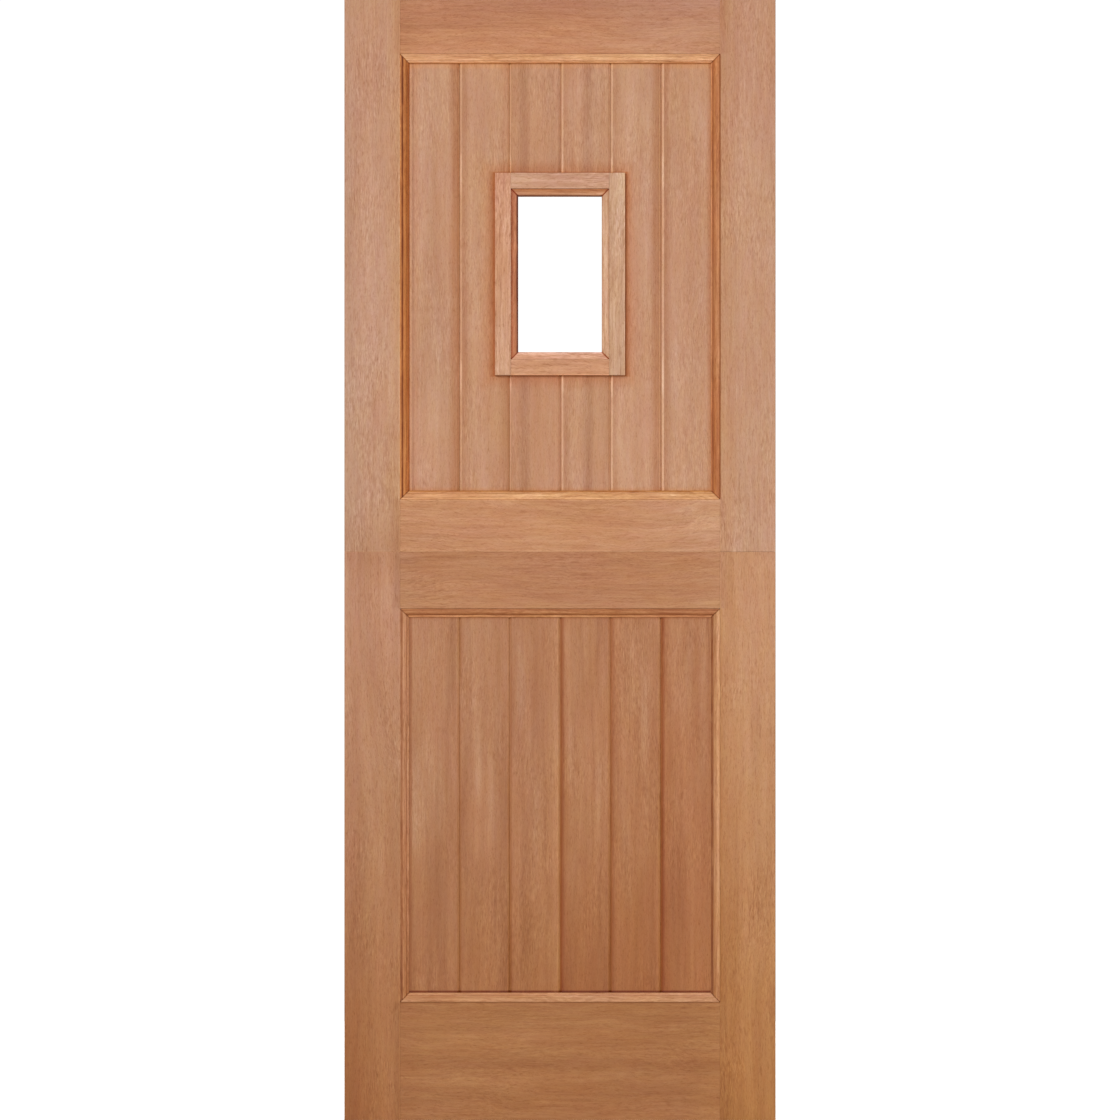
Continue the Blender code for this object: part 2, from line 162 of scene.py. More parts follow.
TIMBERS = {
    "upper_stile": Timber((0.50, 0.255, 0.150), (0.525, 0.282, 0.171), UPPER_STILE_FIGURE),
    "upper_top_rail": even_timber((0.452, 0.190, 0.096), RAIL_FIGURE),
    "upper_meeting_rail": even_timber((0.50, 0.228, 0.108), RAIL_FIGURE),
    "upper_board": Timber((0.525, 0.272, 0.158), (0.525, 0.272, 0.156), UPPER_BOARD_FIGURE),
    # The upper mouldings differ in colour from side to side: painted light and painted shade on one
    # timber.
    "upper_moulding_hanging_side": Timber((0.560, 0.202, 0.055), (0.620, 0.236, 0.068), BEAD_FIGURE),
    "upper_moulding_closing_side": even_timber((0.505, 0.183, 0.062), BEAD_FIGURE),
    "upper_moulding_top": even_timber((0.70, 0.352, 0.170), BEAD_FIGURE),
    "upper_moulding_bottom": even_timber((0.645, 0.318, 0.144), BEAD_FIGURE),
    "window_frame_hanging_side": Timber((0.535, 0.222, 0.120), (0.59, 0.33, 0.196), WINDOW_FIGURE),
    "window_frame_closing_side": Timber((0.59, 0.36, 0.225), (0.59, 0.35, 0.215), WINDOW_FIGURE),
    "window_frame_top": even_timber((0.563, 0.300, 0.186), WINDOW_FIGURE),
    "window_frame_bottom": even_timber((0.58, 0.278, 0.150), WINDOW_FIGURE),
    # The window's beads differ in colour from side to side: painted light and painted shade on one
    # timber.
    "window_bead_hanging_side": even_timber((0.47, 0.165, 0.075), BEAD_FIGURE),
    "window_bead_closing_side": even_timber((0.62, 0.36, 0.225), BEAD_FIGURE),
    "window_bead_top": even_timber((0.53, 0.231, 0.109), BEAD_FIGURE),
    "window_bead_bottom": even_timber((0.655, 0.330, 0.204), BEAD_FIGURE),
    # In the lower leaf the colours darken from head to foot, and the mouldings differ from side to
    # side: painted shade and painted light.
    "lower_hanging_stile": Timber((0.465, 0.229, 0.128), (0.345, 0.131, 0.042), LOWER_STILE_FIGURE),
    "lower_closing_stile": Timber((0.482, 0.230, 0.115), (0.398, 0.167, 0.047), LOWER_STILE_FIGURE),
    "lower_meeting_rail": even_timber((0.43, 0.187, 0.082), RAIL_FIGURE),
    "lower_bottom_rail": even_timber((0.365, 0.147, 0.050), RAIL_FIGURE),
    "lower_board": Timber((0.44, 0.205, 0.105), (0.350, 0.133, 0.044), LOWER_BOARD_FIGURE),
    "lower_moulding_hanging_side": Timber((0.556, 0.262, 0.134), (0.423, 0.162, 0.054), BEAD_FIGURE),
    "lower_moulding_closing_side": Timber((0.600, 0.306, 0.152), (0.512, 0.233, 0.092), BEAD_FIGURE),
    "lower_moulding_top": even_timber((0.468, 0.189, 0.077), BEAD_FIGURE),
    "lower_moulding_bottom": even_timber((0.456, 0.197, 0.081), BEAD_FIGURE),
}

# A darker tone is a more saturated one: tone is raised to these powers for red, green, blue
TONE_POWERS = (1.0, 1.5, 2.0)
# The ends that the hue wanders between, in redness and in yellowness
LEAST_RED, MOST_RED = (1.005, 1.022, 1.027), (0.995, 0.978, 0.973)
LEAST_YELLOW, MOST_YELLOW = (1.0, 1.0, 1.028), (1.0, 1.0, 0.972)

# A noise: its waves to the metre along each axis, and how many finer ones lie on them. In the
# grain the third axis runs along the piece, and the patches of painted shade, painted highlight and
# stain are in the door's own axes.
Noise = namedtuple("Noise", "waves detail")
CLOUDS = Noise((6, 6, 0.8), 1)
BANDS = Noise((18, 18, 1.3), 2)
RIBBONS = Noise((75, 75, 3), 2)
STREAKS = Noise((310, 310, 12), 3)
DASHES = Noise((600, 600, 75), 2)
DASH_GROUPS = Noise((16, 16, 6), 2)
FIBRES = Noise((1500, 1500, 130), 2)
FLECKS = Noise((480, 480, 60), 1)
PORES = Noise((1700, 1700, 170), 1)
# Painted sheen: pale spots that stand in for the timber's sheen
PAINTED_SHEEN_SPOTS = Noise((38, 38, 5.5), 2)
HUES = (
    Noise((5, 5, 1.6), 1),
    Noise((20, 20, 6), 1),
    Noise((60, 60, 18), 1),
    Noise((180, 180, 60), 1),
)
DRIFT = Noise((5, 5, 1.6), 1)
RIPPLE = Noise((22, 22, 9), 1)
SHADE_AND_STAIN_PATCHES = Noise((45, 45, 14), 2)
MOULDING_SHADE_AND_STAIN_PATCHES = Noise((40, 40, 24), 2)

# The values of its noise between which each mark sets in
DASH_GROUP_RANGE = (0.40, 0.62)
FLECK_RANGE = (0.58, 0.72)
PORE_RANGE = (0.60, 0.70)
PAINTED_SHEEN_RANGE = (0.56, 0.70)
HUE_RANGE = (0.34, 0.66)

# How strongly fibres and pores change the tone, and the tint of the painted sheen spots
FIBRE_DEPTH = 0.1
PORE_DEPTH = 0.2
PAINTED_SHEEN_TINT = (1.06, 1.12, 1.22)
# How far from the grain a piece may be sawn, in degrees, how far off in the log it may lie,
# and the share of the grain's wandering that its ripple has
SAWN_OFF_GRAIN = 0.8
LOG_REACH = 9
RIPPLE_SHARE = 0.2

# The surface: its roughness with what fibres and pores add, its gloss, and its relief with
# the shares of fibres and flecks in it
ROUGHNESS = 0.50
FIBRE_ROUGHNESS = 0.18
PORE_ROUGHNESS = 0.12
GLOSS = 0.3
RELIEF_STRENGTH = 0.5
RELIEF_DEPTH = 0.00012
FIBRE_RELIEF = 0.5
FLECK_RELIEF = 0.5

# Painted shade, painted highlights and stain lie unevenly: their mean strength, and how far they
# swing on a board and on a moulding
SHADE_AND_STAIN_MEAN = 1.1
SHADE_AND_STAIN_SWING = 0.5
MOULDING_SWING = 0.75
# Half the length that a line takes to fade out at its end, and the share of a streak's length
# that has its full strength
LINE_END = 0.004
STREAK_CORE = 0.3

# A joint of the upper boards: how strong the painted shade beside it is, how far into the board
# after it the arris with its painted highlight is and how strong, and how strong the painted
# highlight on the board before it is
Joint = namedtuple("Joint", "stain inward light before")
UPPER_JOINTS = (
    Joint(1.0, 0.0026, 0.75, 0.8),
    Joint(0.45, 0.0012, 0.65, 0.6),
    Joint(0.1, 0.0042, 0.50, 1.1),
    Joint(0.4, 0.0026, 0.85, 0.8),
    Joint(0.85, 0.0040, 1.02, 2.4),
)
# Painted shade along these joints: the least strength on the board after it, distance, spread, tints
LEAST_PAINTED_SHADE_AFTER = 0.4
PAINTED_SHADE_AWAY = 0.006
PAINTED_SHADE_SPREAD = 0.016
PAINTED_SHADE_AFTER = (0.86, 0.76, 0.68)
PAINTED_SHADE_BEFORE = (0.84, 0.70, 0.56)
# Painted highlights on the arrises along them: spread and tint on the board after the joint and the
# one before it
PAINTED_HIGHLIGHT_AFTER_SPREAD = 0.0030
PAINTED_HIGHLIGHT_AFTER = (1.60, 2.00, 2.34)
PAINTED_HIGHLIGHT_BEFORE_SPREAD = 0.0044
PAINTED_HIGHLIGHT_BEFORE = (1.26, 1.40, 1.46)
# The painted highlight on the arris is stronger still where it meets the window's frame: spread,
# reach and tint
WINDOW_PAINTED_HIGHLIGHT_SPREAD = 0.0034
WINDOW_PAINTED_HIGHLIGHT_REACH = 0.045
WINDOW_PAINTED_HIGHLIGHT = (1.22, 1.36, 1.50)
# Painted shadow on the boards round the window: spread beside it, spread above and below it, and
# tint
WINDOW_PAINTED_SHADOWS = (
    (0.034, 0.030, (0.95, 0.82, 0.70)),
    (0.014, 0.004, (0.88, 0.72, 0.52)),
    (0.006, 0.003, (0.90, 0.74, 0.52)),
)
# Where the upper boards are warmer: place across the door, spread and tint
UPPER_WARMTH = (WINDOW_LOW.x + 0.05, 0.16, (0.99, 0.95, 0.89))
# Darker streaks of the upper boards: board and distance from the hanging edge
HEART_STREAKS = {3: 0.318, 4: 0.431}
HEART_SPREAD = 0.016
HEART_TINT = (0.84, 0.78, 0.74)

# How strong the painted shade in each joint of the lower boards is, from the hanging side
LOWER_JOINT_PAINTED_SHADE = (0.05, 0.15, 0.95, 0.5, 1.0)
# Lines of painted shade along a joint of the lower boards: distance from it, spread and tint
LOWER_PAINTED_SHADE_LINES = (
    (0.0042, 0.0055, (0.76, 0.58, 0.42)),
    (0.0042, 0.0200, (0.96, 0.86, 0.76)),
)
# Lines of painted highlight on the arrises after and before a joint of the lower boards, given as
# those above
LOWER_PAINTED_HIGHLIGHTS_AFTER = ((0.0, 0.0030, (1.16, 1.20, 1.18)),)
LOWER_PAINTED_HIGHLIGHTS_BEFORE = ((-0.0010, 0.0050, (1.24, 1.34, 1.32)),)
# The tint that the lower boards take on from the hanging side to the closing side
LOWER_WARMTH = (0.97, 0.88, 0.76)
# Paler streaks of the lower boards: board, distance from the hanging edge, foot and head
PALE_STREAKS = {
    1: ((0.126, 0.22, 0.46), (0.168, 0.24, 0.42)),
    2: ((0.236, 0.30, 0.52), (0.262, 0.24, 0.42)),
    3: ((0.340, 0.22, 0.40), (0.312, 0.44, 0.66)),
    4: ((0.449, 0.20, 0.46), (0.398, 0.34, 0.50)),
    5: ((0.532, 0.36, 0.61), (0.498, 0.20, 0.36)),
    6: ((0.610, 0.46, 0.66), (0.634, 0.30, 0.74)),
}
PALE_STREAK_SPREAD = 0.012
PALE_STREAK_TINT = (1.06, 1.14, 1.26)

# Lines of painted shade and painted highlight on the boards along the mouldings: side, distance from
# it, spread and tint
PANEL_PAINTED_SHADE_AND_HIGHLIGHTS = {
    "upper": (
        ("left", 0.0, 0.0030, (0.84, 0.60, 0.38)),
        ("left", 0.0032, 0.0020, (1.10, 1.08, 1.02)),
        ("left", 0.0068, 0.0040, (0.86, 0.82, 0.80)),
        ("left", 0.010, 0.012, (0.97, 0.90, 0.84)),
        ("right", 0.0, 0.010, (0.92, 0.78, 0.64)),
        ("top", 0.0, 0.0035, (0.90, 0.72, 0.50)),
        ("top", -0.004, 0.008, (1.08, 1.02, 0.88)),
        ("bottom", 0.0, 0.008, (1.04, 0.94, 0.78)),
    ),
    "lower": (
        ("left", 0.0024, 0.0046, (0.82, 0.68, 0.56)),
        ("right", 0.0, 0.004, (1.10, 1.12, 1.04)),
        ("top", 0.0, 0.005, (0.92, 0.80, 0.66)),
        ("bottom", 0.0016, 0.0038, (0.44, 0.17, 0.02)),
    ),
}

# The stiles at the shoulders of the rails: how much darker they are, and the painted highlight on
# the arris there
SHOULDERS = {
    "upper_hanging_stile": {
        "upper_top_rail": (0.93, 0.87, 0.84),
        "upper_meeting_rail": (0.87, 0.79, 0.74),
    },
    "upper_closing_stile": {
        "upper_top_rail": (0.92, 0.84, 0.86),
        "upper_meeting_rail": (0.96, 0.95, 0.97),
    },
    "lower_hanging_stile": {
        "lower_meeting_rail": (0.85, 0.79, 0.74),
        "lower_bottom_rail": (0.90, 0.87, 0.84),
    },
    "lower_closing_stile": {
        "lower_meeting_rail": (0.90, 0.86, 0.92),
        "lower_bottom_rail": (1.0, 1.02, 1.08),
    },
}
SHOULDER_SPREAD = 0.020
SHOULDER_PAINTED_HIGHLIGHT_SPREAD = 0.0022
SHOULDER_PAINTED_HIGHLIGHT = (1.34, 1.36, 1.34)
# Lines along a stile's inner edge: distance from it, spread and tint. The first kind, painted
# highlights and painted shade on the arris, ends with the mouldings, and the second runs through.
STILE_LINES_BESIDE = {
    "upper_hanging_stile": ((0.0, 0.0030, (1.40, 1.50, 1.50)),),
    "upper_closing_stile": ((0.0, 0.0029, (0.72, 0.47, 0.24)),),
    "lower_hanging_stile": ((0.0, 0.0030, (1.30, 1.34, 1.34)),),
    "lower_closing_stile": (
        (0.0, 0.0016, (1.12, 1.10, 1.04)),
        (0.0030, 0.0040, (0.97, 0.93, 0.84)),
    ),
}
STILE_LINES_THROUGH = {
    "upper_hanging_stile": ((0.0, 0.034, (1.0, 0.98, 0.84)),),
    "upper_closing_stile": ((0.0, 0.040, (1.02, 0.99, 0.88)),),
    "lower_hanging_stile": (),
    "lower_closing_stile": ((0.0, 0.060, (0.98, 0.95, 0.85)),),
}

# Lines across the hanging stiles at the joint of the leaves, given as those below; the narrow pale
# one is a painted highlight
HANGING_STILES_AT_JOINT = (
    (Z, LEAF_JOINT, 0.06, (0.93, 0.89, 0.83)),
    (Z, LEAF_JOINT, 0.0022, (1.22, 1.24, 1.22)),
)
# Lines on single pieces: axis, place, spread and tint. The narrow pale lines at the joints and on
# the window frame's outer edges are painted highlights, and the dark line at the top of the bottom
# rail is painted shade.
LINES = {
    "upper_hanging_stile": (*HANGING_STILES_AT_JOINT, (X, 0.0, 0.030, (1.0, 1.05, 1.10))),
    "lower_hanging_stile": (
        *HANGING_STILES_AT_JOINT,
        (X, 0.070, 0.030, (1.06, 1.07, 1.08)),
        (X, 0.020, 0.020, (0.95, 0.90, 0.90)),
    ),
    "upper_meeting_rail": (
        (Z, UPPER_MEETING_TOP, 0.003, (1.20, 1.24, 1.22)),
        (Z, LEAF_JOINT, 0.014, (1.10, 1.16, 1.22)),
        (Z, LEAF_JOINT, 0.0022, (1.20, 1.24, 1.26)),
    ),
    "lower_meeting_rail": ((Z, LOWER_MEETING_TOP, 0.0022, (1.14, 1.16, 1.16)),),
    "lower_bottom_rail": (
        (Z, -0.125, 0.016, (0.90, 0.84, 0.80)),
        (Z, BOTTOM_RAIL_TOP, 0.005, (0.84, 0.76, 0.68)),
    ),
    "window_front_frame_hanging_side": ((X, WINDOW_LOW.x, 0.0026, (1.06, 1.02, 1.00)),),
    "window_front_frame_closing_side": ((X, WINDOW_HIGH.x, 0.0034, (1.26, 1.30, 1.30)),),
    "window_front_frame_bottom": ((Z, WINDOW_LOW.z, 0.0032, (1.32, 1.34, 1.34)),),
}
# Fades on single pieces: axis, where the tint sets in, where it is full, and the tint
FADES = {
    "upper_hanging_stile": ((Z, 1.10, 0.80, (0.97, 0.97, 0.96)),),
    "upper_closing_stile": ((Z, 1.45, 1.70, (0.96, 0.92, 0.86)),),
    "upper_top_rail": (
        (X, 0.35, 0.62, (1.0, 1.10, 1.28)),
        (X, 0.15, 0.098, (0.95, 0.93, 0.87)),
        (Z, DOOR_HIGH.z, TOP_RAIL_FOOT, (1.16, 1.20, 1.08)),
    ),
    "upper_meeting_rail": ((X, 0.42, 0.66, (1.06, 1.17, 1.34)),),
    "lower_meeting_rail": (
        (X, 0.60, 0.655, (1.07, 1.15, 1.23)),
        (X, 0.15, 0.105, (1.01, 1.06, 1.14)),
    ),
    "lower_bottom_rail": (
        (X, 0.60, 0.655, (1.07, 1.11, 1.09)),
        (X, 0.15, 0.105, (0.96, 0.92, 0.91)),
    ),
    "lower_front_moulding_bottom": ((X, 0.15, 0.60, (1.08, 1.17, 1.26)),),
    "lower_front_moulding_top": ((X, 0.48, 0.58, (0.92, 0.88, 0.91)),),
}
# Broad patches on single pieces: distance from the hanging edge, spread, foot, head and tint
PATCHES = {
    "upper_hanging_stile": (
        (0.085, 0.050, 0.72, 1.06, (0.95, 0.92, 0.87)),
        (0.018, 0.045, 0.78, 1.34, (1.02, 1.07, 1.12)),
    ),
    "upper_front_moulding_hanging_side": (
        (0.110, 0.050, 1.18, 1.54, (0.90, 0.83, 0.73)),
        (0.110, 0.050, 1.02, 1.26, (1.00, 0.94, 0.87)),
    ),
    "upper_front_moulding_closing_side": (
        (0.652, 0.050, 1.36, 1.70, (0.92, 0.88, 0.80)),
        (0.652, 0.050, 1.20, 1.51, (0.94, 0.98, 1.05)),
        (0.652, 0.050, 1.02, 1.33, (1.00, 1.09, 1.22)),
    ),
    "upper_board_1": (
        (0.152, 0.050, 0.86, 1.10, (1.08, 1.13, 1.17)),
        (0.152, 0.050, 1.42, 1.70, (1.01, 1.05, 1.06)),
    ),
    "upper_board_2": ((0.250, 0.050, 1.44, 1.66, (0.95, 0.92, 0.96)),),
    "lower_hanging_stile": ((0.020, 0.050, -0.36, 0.10, (1.07, 1.07, 1.02)),),
    "lower_closing_stile": ((0.748, 0.050, -0.36, 0.10, (0.91, 0.89, 0.90)),),
    "lower_board_1": ((0.140, 0.055, 0.20, 0.52, (1.05, 1.09, 1.19)),),
    "lower_board_2": (
        (0.244, 0.050, 0.18, 0.46, (1.09, 1.13, 1.19)),
        (0.244, 0.050, -0.06, 0.22, (1.04, 1.07, 1.05)),
    ),
    "lower_board_3": (
        (0.338, 0.050, -0.02, 0.20, (0.94, 0.92, 0.86)),
        (0.338, 0.050, 0.44, 0.72, (0.98, 0.95, 0.88)),
    ),
    "lower_board_4": (
        (0.428, 0.050, 0.46, 0.72, (0.92, 0.88, 0.83)),
        (0.428, 0.050, -0.06, 0.24, (0.99, 0.97, 0.90)),
    ),
    "lower_board_5": (
        (0.512, 0.050, 0.46, 0.72, (1.04, 1.09, 1.16)),
        (0.512, 0.050, -0.06, 0.24, (0.99, 0.97, 0.90)),
    ),
}

# Lines of painted shade and painted highlight across a front moulding or bead: distance from the
# frame's edge, spread and tint
MOULDING_PAINTED_SHADE_AND_HIGHLIGHTS = {
    "upper_hanging_side": (
        (0.0000, 0.0016, (1.20, 1.34, 1.44)),
        (0.0041, 0.0030, (0.30, 0.15, 0.03)),
        (0.0145, 0.0036, (0.62, 0.42, 0.18)),
    ),
    "upper_closing_side": (
        (0.0000, 0.0018, (0.76, 0.62, 0.46)),
        (0.0128, 0.0022, (0.72, 0.58, 0.42)),
        (0.0155, 0.0028, (1.22, 1.28, 1.32)),
    ),
    "upper_top": (
        (0.0000, 0.0020, (1.24, 1.32, 1.36)),
        (0.0086, 0.0040, (1.12, 1.16, 1.22)),
        (0.0030, 0.0030, (0.90, 0.88, 0.86)),
        (0.0106, 0.0032, (1.40, 1.56, 1.72)),
        (0.0160, 0.0030, (0.72, 0.48, 0.20)),
    ),
    "upper_bottom": (
        (0.0000, 0.0020, (1.42, 1.50, 1.50)),
        (0.0088, 0.0045, (1.18, 1.26, 1.36)),
        (0.0152, 0.0032, (0.66, 0.46, 0.14)),
    ),
    "lower_hanging_side": (
        (0.0030, 0.0030, (0.60, 0.46, 0.32)),
        (0.0106, 0.0024, (1.20, 1.22, 1.24)),
        (0.0165, 0.0030, (0.88, 0.80, 0.70)),
    ),
    "lower_closing_side": (
        (0.0000, 0.0020, (1.28, 1.36, 1.30)),
        (0.0036, 0.0024, (1.06, 1.08, 1.10)),
        (0.0071, 0.0020, (0.84, 0.80, 0.74)),
        (0.0138, 0.0028, (0.42, 0.21, 0.04)),
    ),
    "lower_top": (
        (0.0024, 0.0020, (0.74, 0.60, 0.44)),
        (0.0100, 0.0022, (0.86, 0.76, 0.62)),
        (0.0130, 0.0022, (1.38, 1.48, 1.48)),
    ),
    "lower_bottom": (
        (0.0108, 0.0028, (1.30, 1.38, 1.56)),
        (0.0160, 0.0020, (1.16, 1.12, 1.04)),
    ),
    "window_hanging_side": (
        (0.0010, 0.0046, (0.80, 0.62, 0.48)),
        (0.0118, 0.0038, (0.24, 0.12, 0.07)),
    ),
    "window_closing_side": (
        (0.0000, 0.0030, (0.92, 0.82, 0.74)),
        (0.0122, 0.0022, (0.86, 0.78, 0.74)),
    ),
    "window_top": (
        (0.0010, 0.0045, (0.96, 0.82, 0.64)),
        (0.0090, 0.0034, (1.14, 1.28, 1.54)),
        (0.0122, 0.0028, (0.36, 0.24, 0.18)),
    ),
    "window_bottom": (
        (0.0105, 0.0034, (1.20, 1.36, 1.62)),
    ),
}
# How the timber is stained along its mitres: spread and tint
MITRES = {
    "upper": (0.0018, (0.76, 0.60, 0.44)),
    "lower": (0.0018, (0.76, 0.62, 0.48)),
    "window": (0.0028, (0.66, 0.28, 0.10)),
}


class Graph:
    """A material's nodes, written as calls on their sockets."""

    def __init__(self, material):
        material.use_nodes = True
        self.tree = material.node_tree
        self.shader = self.tree.nodes["Principled BSDF"]

    def add(self, kind, **settings):
        node = self.tree.nodes.new(kind)
        for key, value in settings.items():
            setattr(node, key, value)
        return node

    def feed(self, socket, value):
        if isinstance(value, bpy.types.NodeSocket):
            self.tree.links.new(value, socket)
        else:
            socket.default_value = value

    def math(self, operation, *values):
        node = self.add("ShaderNodeMath", operation=operation)
        for socket, value in zip(node.inputs, values):
            self.feed(socket, value)
        return node.outputs[0]

    def vector(self, operation, *values):
        node = self.add("ShaderNodeVectorMath", operation=operation)
        for socket, value in zip(node.inputs, values):
            self.feed(socket, value)
        return node.outputs[0]

    def split(self, vector):
        node = self.add("ShaderNodeSeparateXYZ")
        self.feed(node.inputs[0], vector)
        return node.outputs

    def join(self, *parts):
        node = self.add("ShaderNodeCombineXYZ")
        for socket, value in zip(node.inputs, parts):
            self.feed(socket, value)
        return node.outputs[0]

    def ramp(self, value, low, high):
        """0 where value is low, eased to 1 where it is high."""
        node = self.add("ShaderNodeMapRange", interpolation_type="SMOOTHSTEP", clamp=True)
        for socket, number in zip(node.inputs, (value, low, high)):
            self.feed(socket, number)
        return node.outputs[0]

    def noise(self, point, noise, output="Fac"):
        """Noise from 0 to 1 around 0.5. The output Color is three that vary by themselves."""
        node = self.add("ShaderNodeTexNoise", noise_dimensions="3D")
        self.feed(node.inputs["Vector"], self.vector("MULTIPLY", point, noise.waves))
        node.inputs["Scale"].default_value = 1.0
        node.inputs["Detail"].default_value = noise.detail
        return node.outputs[output]

    def blend(self, factor, first, second):
        """first where factor is 0, second where it is 1, of two colours.

        A mix node has sockets for every data type, and those for colours are 6, 7 and 2.
        """
        node = self.add("ShaderNodeMix", data_type="RGBA", clamp_factor=True)
        self.feed(node.inputs[0], factor)
        self.feed(node.inputs[6], opaque(first))
        self.feed(node.inputs[7], opaque(second))
        return node.outputs[2]

    def tint(self, factor, colour, by):
        """colour, multiplied by another where factor is 1."""
        return self.blend(factor, colour, self.vector("MULTIPLY", colour, by))

    def centred(self, value, strength):
        """Noise from 0 to 1, brought to as much as strength either side of 0."""
        return self.math("MULTIPLY", self.math("SUBTRACT", value, 0.5), strength * 2)

    def lessened(self, value, marks, strength):
        """A value, less a share of it where marks are 1."""
        rest = self.math("SUBTRACT", 1.0, self.math("MULTIPLY", marks, strength))
        return self.math("MULTIPLY", value, rest)


def opaque(colour):
    """A plain colour with the alpha that a socket needs."""
    return (*colour, 1.0) if isinstance(colour, tuple) else colour


def timber_of(name):
    """The timber that a node's piece is made from."""
    leaf = name.split("_")[0]
    if name in TIMBERS:
        return TIMBERS[name]
    if leaf == "window":
        return TIMBERS[name.replace("front_", "").replace("back_", "")]
    if "moulding" in name or "bead" in name:
        return TIMBERS[f"{leaf}_moulding_{side_of(name)}"]
    if "board" in name:
        return TIMBERS[f"{leaf}_board"]
    return TIMBERS[f"{leaf}_stile"]


def side_of(name):
    """The side of its opening that a moulding or a bead is on."""
    return name.split("moulding_")[-1].split("bead_")[-1]


def runs_across(name):
    """Whether a piece's grain runs along X."""
    return name.endswith(("_rail", "_top", "_bottom"))


def wood(name):
    """The finish of one piece."""
    figure = timber_of(name).figure
    material = bpy.data.materials.new(f"{name}_timber")
    graph = Graph(material)
    place = graph.add("ShaderNodeTexCoord").outputs["Object"]
    grain = grain_point(graph, place, name, figure)
    fibre = graph.noise(grain, FIBRES)
    flecks = graph.ramp(graph.noise(grain, FLECKS), *FLECK_RANGE)
    pores = graph.ramp(graph.noise(grain, PORES), *PORE_RANGE)

    tone = graph.math("ADD", 1.0, graph.centred(fibre, FIBRE_DEPTH))
    for noise, strength in (
        (CLOUDS, figure.cloud),
        (BANDS, figure.band),
        (RIBBONS, figure.ribbon),
        (STREAKS, figure.streak),
    ):
        tone = graph.math("ADD", tone, graph.centred(graph.noise(grain, noise), strength))
    groups = graph.ramp(graph.noise(grain, DASH_GROUPS), *DASH_GROUP_RANGE)
    dashes = graph.centred(graph.noise(grain, DASHES), figure.dash)
    tone = graph.math("ADD", tone, graph.math("MULTIPLY", groups, dashes))
    tone = graph.lessened(tone, flecks, figure.fleck)
    tone = graph.lessened(tone, pores, PORE_DEPTH)

    colour = timber_colour(graph, place, grain, name, tone)
    for mark in marks_of(name):
        colour = mark(graph, place, colour)
    graph.feed(graph.shader.inputs["Base Color"], colour)
    finish_surface(graph, fibre, flecks, pores)
    return material


def timber_colour(graph, place, grain, name, tone):
    """A timber's colour at each place: from top to foot, darker towards the foot in the lower leaf
    as painted shade, by tone, with its hue and painted sheen spots.
    """
    timber = timber_of(name)
    in_upper_leaf = name.startswith(("upper", "window"))
    leaf = (LEAF_JOINT, DOOR_HIGH.z) if in_upper_leaf else (DOOR_LOW.z, LEAF_JOINT)
    height = graph.split(place)[Z]
    colour = graph.blend(graph.ramp(height, *leaf), timber.foot, timber.head)
    shade = graph.join(*(graph.math("POWER", tone, power) for power in TONE_POWERS))
    colour = graph.vector("MULTIPLY", colour, shade)
    for noise in HUES:
        red, yellow, _ = graph.split(graph.noise(grain, noise, output="Color"))
        for value, least, most in ((red, LEAST_RED, MOST_RED), (yellow, LEAST_YELLOW, MOST_YELLOW)):
            hue = graph.blend(graph.ramp(value, *HUE_RANGE), least, most)
            colour = graph.tint(timber.figure.hue, colour, hue)
    pale = graph.ramp(graph.noise(grain, PAINTED_SHEEN_SPOTS), *PAINTED_SHEEN_RANGE)
    return graph.tint(graph.math("MULTIPLY", pale, timber.figure.pale), colour, PAINTED_SHEEN_TINT)


def finish_surface(graph, fibre, flecks, pores):
    """Sheen and relief of bare smooth timber."""
    rough = graph.math("ADD", ROUGHNESS, graph.math("MULTIPLY", fibre, FIBRE_ROUGHNESS))
    rough = graph.math("ADD", rough, graph.math("MULTIPLY", pores, PORE_ROUGHNESS))
    graph.feed(graph.shader.inputs["Roughness"], rough)
    graph.shader.inputs["Specular IOR Level"].default_value = GLOSS
    relief = graph.math("SUBTRACT", graph.math("MULTIPLY", fibre, FIBRE_RELIEF), pores)
    relief = graph.math("SUBTRACT", relief, graph.math("MULTIPLY", flecks, FLECK_RELIEF))
    bump = graph.add("ShaderNodeBump")
    bump.inputs["Strength"].default_value = RELIEF_STRENGTH
    bump.inputs["Distance"].default_value = RELIEF_DEPTH
    graph.feed(bump.inputs["Height"], relief)
    graph.feed(graph.shader.inputs["Normal"], bump.outputs[0])


def grain_point(graph, place, name, figure):
    """A point of the piece in its own log: the third axis runs with the grain, which wanders."""
    chance = random.Random(name)
    mapping = graph.add("ShaderNodeMapping")
    turn = chance.uniform(-SAWN_OFF_GRAIN, SAWN_OFF_GRAIN)
    if runs_across(name):
        turn += 90
    mapping.inputs["Rotation"].default_value = (0, math.radians(turn), 0)
    place_in_log = [chance.uniform(-LOG_REACH, LOG_REACH) for _ in range(3)]
    mapping.inputs["Location"].default_value = place_in_log
    graph.feed(mapping.inputs["Vector"], place)
    point = mapping.outputs[0]
    drift = graph.centred(graph.noise(point, DRIFT), figure.wander)
    ripple = graph.centred(graph.noise(point, RIPPLE), figure.wander * RIPPLE_SHARE)
    drift = graph.math("ADD", drift, ripple)
    return graph.vector("ADD", point, graph.join(drift, drift, 0.0))


def ease_edges(piece, arris):
    """Rounds a piece's sharp edges as sandpaper does."""
    bevel = piece.modifiers.new("arris", "BEVEL")
    bevel.width = arris
    bevel.segments = ARRIS_STEPS
    bevel.limit_method = "ANGLE"
    bevel.angle_limit = SHARP_ANGLE


